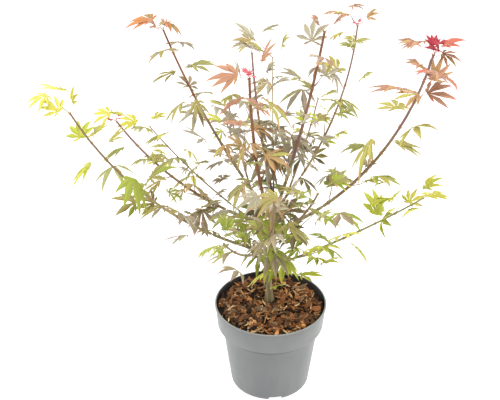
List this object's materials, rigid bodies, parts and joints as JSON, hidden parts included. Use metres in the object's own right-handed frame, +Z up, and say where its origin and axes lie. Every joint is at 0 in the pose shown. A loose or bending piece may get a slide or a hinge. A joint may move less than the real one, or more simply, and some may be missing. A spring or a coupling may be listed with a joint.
{
  "type": "potted japanese maple",
  "caption": "Young multi-stemmed japanese maple with lobed green, bronze and red leaves, in a round grey nursery pot topped with bark mulch.",
  "frame": {"origin": "centre of the pot's flat underside", "axes": "+Z up along the pot's axis, -Y towards the front"},
  "size_m": [0.6271, 0.4975, 0.6933],
  "materials": {
    "pot": "moulded polypropylene, satin, mid grey",
    "soil": "dark potting soil",
    "mulch": "loose pine bark chips, matt",
    "bark": "smooth young bark, olive grey at the foot, red-brown on the shoots",
    "foliage": "thin leaves, satin, from fresh green to bronze and red at the tips"
  },
  "bodies": {
    "root": {"pot": "pot", "potting_soil": "soil", "bark_mulch": "mulch", "trunk": "bark", "bough_left_low": "bark", "foliage_left_low": "foliage", "bough_left_mid": "bark", "foliage_left_mid": "foliage", "bough_left_back": "bark", "foliage_left_back": "foliage", "bough_left_high": "bark", "foliage_left_high": "foliage", "bough_front_upright": "bark", "foliage_front_upright": "foliage", "bough_leader": "bark", "foliage_leader": "foliage", "bough_right_steep": "bark", "foliage_right_steep": "foliage", "bough_right_high": "bark", "foliage_right_high": "foliage", "bough_right_mid": "bark", "foliage_right_mid": "foliage", "bough_right_low": "bark", "foliage_right_low": "foliage", "bough_front_mid": "bark", "foliage_front_mid": "foliage", "bough_front_left": "bark", "foliage_front_left": "foliage", "bough_front_right": "bark", "foliage_front_right": "foliage", "bough_back_right": "bark", "foliage_back_right": "foliage", "bough_back_left": "bark", "foliage_back_left": "foliage", "bough_back_mid": "bark", "foliage_back_mid": "foliage", "bough_right_front": "bark", "foliage_right_front": "foliage", "bough_front_low": "bark", "foliage_front_low": "foliage", "bough_left_foot": "bark", "foliage_left_foot": "foliage", "foliage_inner_left": "foliage", "foliage_inner_right": "foliage", "foliage_inner_back": "foliage"}
  },
  "joints": []
}
